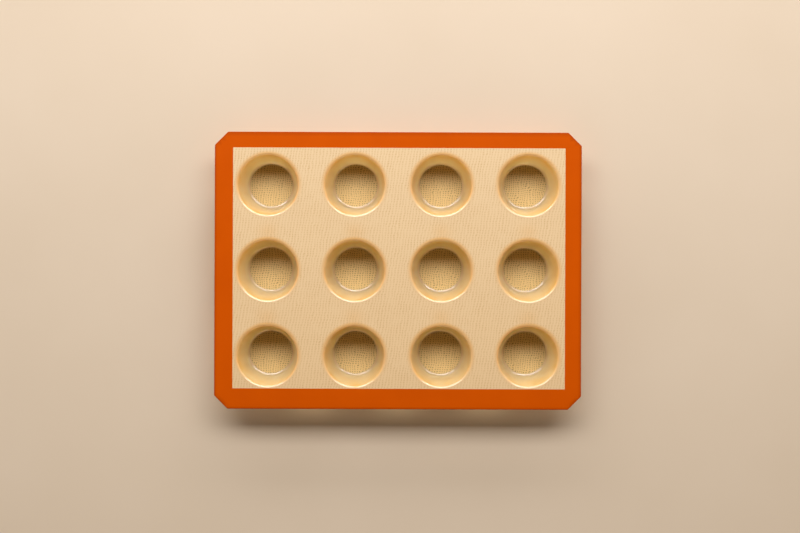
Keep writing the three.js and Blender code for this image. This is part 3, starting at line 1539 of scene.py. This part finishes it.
@dataclass
class EdgeBand:
    """The coloured band, a U-shaped section with a round nose, bound over the edge of the cloth."""

    layout: SheetLayout
    sag: SheetSag
    corner_radius: float = 2 * MM
    nose_steps: int = 6
    dulled_width: float = 1.8 * MM
    crease: float = math.radians(50)

    def build(self, finish: bpy.types.Material) -> None:
        """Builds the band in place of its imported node.

        Args:
            finish: The band's finish.
        """
        mesh = self.shell()
        points = points_of(mesh)
        store_value(mesh, Trait.OUTER_EDGE, self.nearness_to_edge(points))
        move_points(mesh, self.sag.settle(points))
        shade_by_angle(mesh, self.crease)
        mesh.materials.append(finish)
        add_piece("bound_edge_band", mesh, "edge_band")

    def shell(self) -> bpy.types.Mesh:
        """Makes the band's closed mesh.

        Returns:
            The mesh, before it settles.
        """
        low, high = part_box("edge_band")
        pocket_low, pocket_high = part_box("glass_cloth")
        pocket_bottom = pocket_low.z - self.layout.bond_line
        pocket_top = pocket_high.z + self.layout.bond_line
        mesher = SheetMesher()
        window = self.layout.window_loop(mesher.spacing)
        inner = self.layout.octagon(self.layout.pocket_inset)
        pocket = rounded_loop(inner, self.corner_radius, mesher.spacing)
        nose = (high.z - low.z) / 2
        middle = (high.z + low.z) / 2
        edge = rounded_loop(self.layout.octagon(0.0), self.corner_radius, mesher.spacing)
        rings = []
        for step in range(-self.nose_steps, self.nose_steps + 1):
            angle = math.pi / 2 * step / self.nose_steps
            loop = inset_loop(edge, nose * (1 - math.cos(angle)))
            rings.append((loop, middle + nose * math.sin(angle)))
        for (lower, lower_height), (upper, upper_height) in zip(rings, rings[1:]):
            mesher.add_strip(lower, lower_height, upper, upper_height)
        mesher.add_region(rings[-1][0], [window], high.z)
        mesher.add_region(rings[0][0], [window], low.z)
        mesher.add_region(pocket, [window], pocket_top)
        mesher.add_region(pocket, [window], pocket_bottom)
        mesher.add_wall(window, pocket_top, high.z)
        mesher.add_wall(window, low.z, pocket_bottom)
        mesher.add_wall(pocket, pocket_bottom, pocket_top)
        return mesher.to_mesh("bound_edge_band")

    def nearness_to_edge(self, points: np.ndarray) -> np.ndarray:
        """Gives 1 at the sheet's outer edge, falling to 0 inside it.

        Args:
            points: Points in the part's frame, one a row.

        Returns:
            One value for each point.
        """
        left, front, right, back = self.layout.sheet
        x, y, _ = points.T
        sides = np.minimum.reduce([x - left, right - x, y - front, back - y])
        reach = (right - left) / 2 + (back - front) / 2 - self.layout.corner_cut
        middle_x = (left + right) / 2
        middle_y = (front + back) / 2
        corners = (reach - np.abs(x - middle_x) - np.abs(y - middle_y)) / math.sqrt(2)
        return np.clip(1 - np.minimum(sides, corners) / self.dulled_width, 0, 1)


# Studio


@dataclass(frozen=True)
class SoftLamp:
    """A wide soft lamp behind the mould."""

    name: str
    back: float
    height: float
    width: float
    depth: float
    power: float


@dataclass
class Studio:
    """A pale table, two soft lamps behind the mould and a camera straight above it."""

    layout: SheetLayout
    photo_sheet_width: float = 367.25
    photo_sheet_middle: tuple[float, float] = (398.1, 270.8)
    photo_nadir: tuple[float, float] = (405.0, 221.0)
    lens: float = 50.0
    sensor: float = 36.0
    roll: float = math.radians(0.2)
    table_size: float = 6.0
    high_lamp: SoftLamp = SoftLamp("high_lamp", back=1.15, height=1.38, width=2.7, depth=0.68, power=40.5)
    low_lamp: SoftLamp = SoftLamp("low_lamp", back=1.43, height=0.5, width=2.4, depth=0.3, power=15.0)
    lamp_aim: float = 1.2
    overhead: float = 0.03
    horizon: float = 1.2
    horizon_power: float = 2.0
    room_colour: Colour = (1.0, 0.85, 0.62, 1.0)
    backdrop: Colour = (0.86, 0.82, 0.76, 1.0)

    def build(self, paint: bpy.types.Material) -> None:
        """Sets the table, the light and the camera.

        Args:
            paint: The table's finish.
        """
        self.set_table(paint)
        for lamp in (self.high_lamp, self.low_lamp):
            self.hang_lamp(lamp)
        self.light_room()
        self.place_camera()
        bpy.context.scene.view_settings.view_transform = "Standard"

    def set_table(self, paint: bpy.types.Material) -> None:
        """Lays the table top under the cups."""
        half = self.table_size / 2
        mesh = bpy.data.meshes.new("table_top")
        corners = [(-half, -half, 0), (half, -half, 0), (half, half, 0), (-half, half, 0)]
        mesh.from_pydata(corners, [], [(0, 1, 2, 3)])
        mesh.materials.append(paint)
        table = bpy.data.objects.new("table_top", mesh)
        bpy.context.scene.collection.objects.link(table)

    def hang_lamp(self, soft: SoftLamp) -> None:
        """Hangs a lamp behind the mould, turned to a place in front of it so that its light is even.

        Args:
            soft: The lamp.
        """
        light = bpy.data.lights.new(soft.name, "AREA")
        light.shape = "RECTANGLE"
        light.size = soft.width
        light.size_y = soft.depth
        light.energy = soft.power
        lamp = bpy.data.objects.new(soft.name, light)
        lamp.location = (0.0, soft.back, self.layout.web_top + soft.height)
        towards = Vector((0.0, -self.lamp_aim, self.layout.web_top)) - lamp.location
        lamp.rotation_euler = towards.to_track_quat("-Z", "Y").to_euler()
        bpy.context.scene.collection.objects.link(lamp)

    def light_room(self) -> None:
        """Gives the room a soft light from all round, and a pale backdrop that only the camera sees."""
        world = bpy.data.worlds.new("room")
        bpy.context.scene.world = world
        world.use_nodes = True
        graph = NodeGraph(world.node_tree)
        _, _, up = graph.split(graph.step("ShaderNodeTexCoord", {}, output="Generated"))
        lowness = graph.math("SUBTRACT", 1.0, up, clamp=True)
        falloff = graph.math("POWER", lowness, self.horizon_power)
        strength = graph.math("ADD", graph.math("MULTIPLY", falloff, self.horizon), self.overhead)
        room = graph.step("ShaderNodeBackground", {"Color": self.room_colour, "Strength": strength})
        seen = graph.step("ShaderNodeBackground", {"Color": self.backdrop})
        shown = graph.mix_shaders(graph.light_path("Is Camera Ray"), room, seen)
        graph.feed(graph.node("ShaderNodeOutputWorld").inputs["Surface"], shown)

    def place_camera(self) -> None:
        """Places the camera above the table so that the sheet fills its share of the image."""
        left, _, right, _ = self.layout.sheet
        metres_per_pixel = (right - left) / self.photo_sheet_width
        distance = IMAGE_WIDTH * metres_per_pixel * self.lens / self.sensor
        data = bpy.data.cameras.new("camera_above")
        data.sensor_width = self.sensor
        data.lens = self.lens
        camera = bpy.data.objects.new("camera_above", data)
        middle_x, middle_y = self.photo_sheet_middle
        nadir_x, nadir_y = self.photo_nadir
        data.shift_x = (IMAGE_WIDTH / 2 - nadir_x) / IMAGE_WIDTH
        data.shift_y = (nadir_y - IMAGE_HEIGHT / 2) / IMAGE_WIDTH
        camera.location = (
            (nadir_x - middle_x) * metres_per_pixel,
            (middle_y - nadir_y) * metres_per_pixel,
            self.layout.web_top + distance,
        )
        camera.rotation_euler = (0.0, 0.0, self.roll)
        bpy.context.scene.collection.objects.link(camera)
        bpy.context.scene.camera = camera


def main() -> None:
    """Builds the mould's looks and its studio."""
    logging.basicConfig(level=logging.INFO, format="%(name)s: %(message)s")
    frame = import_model()
    layout = SheetLayout.from_frame(frame["nodes"])
    sag = SheetSag(layout)
    warm_marks_and_shade = WarmMarksAndShade(layout)
    tan = TanSilicone()

    Studio(layout).build(TablePaint().material())
    cups = CupGrid(layout, sag, CupSection(layout))
    cups.build(tan.material(Form.CUP, layout), warm_marks_and_shade)
    web = FlatWeb(layout, sag, cups)
    web.build(tan.material(Form.WEB, layout), WovenGlass().material(), warm_marks_and_shade)
    EdgeBand(layout, sag).build(OrangeSilicone().material())


if __name__ == "__main__":
    main()
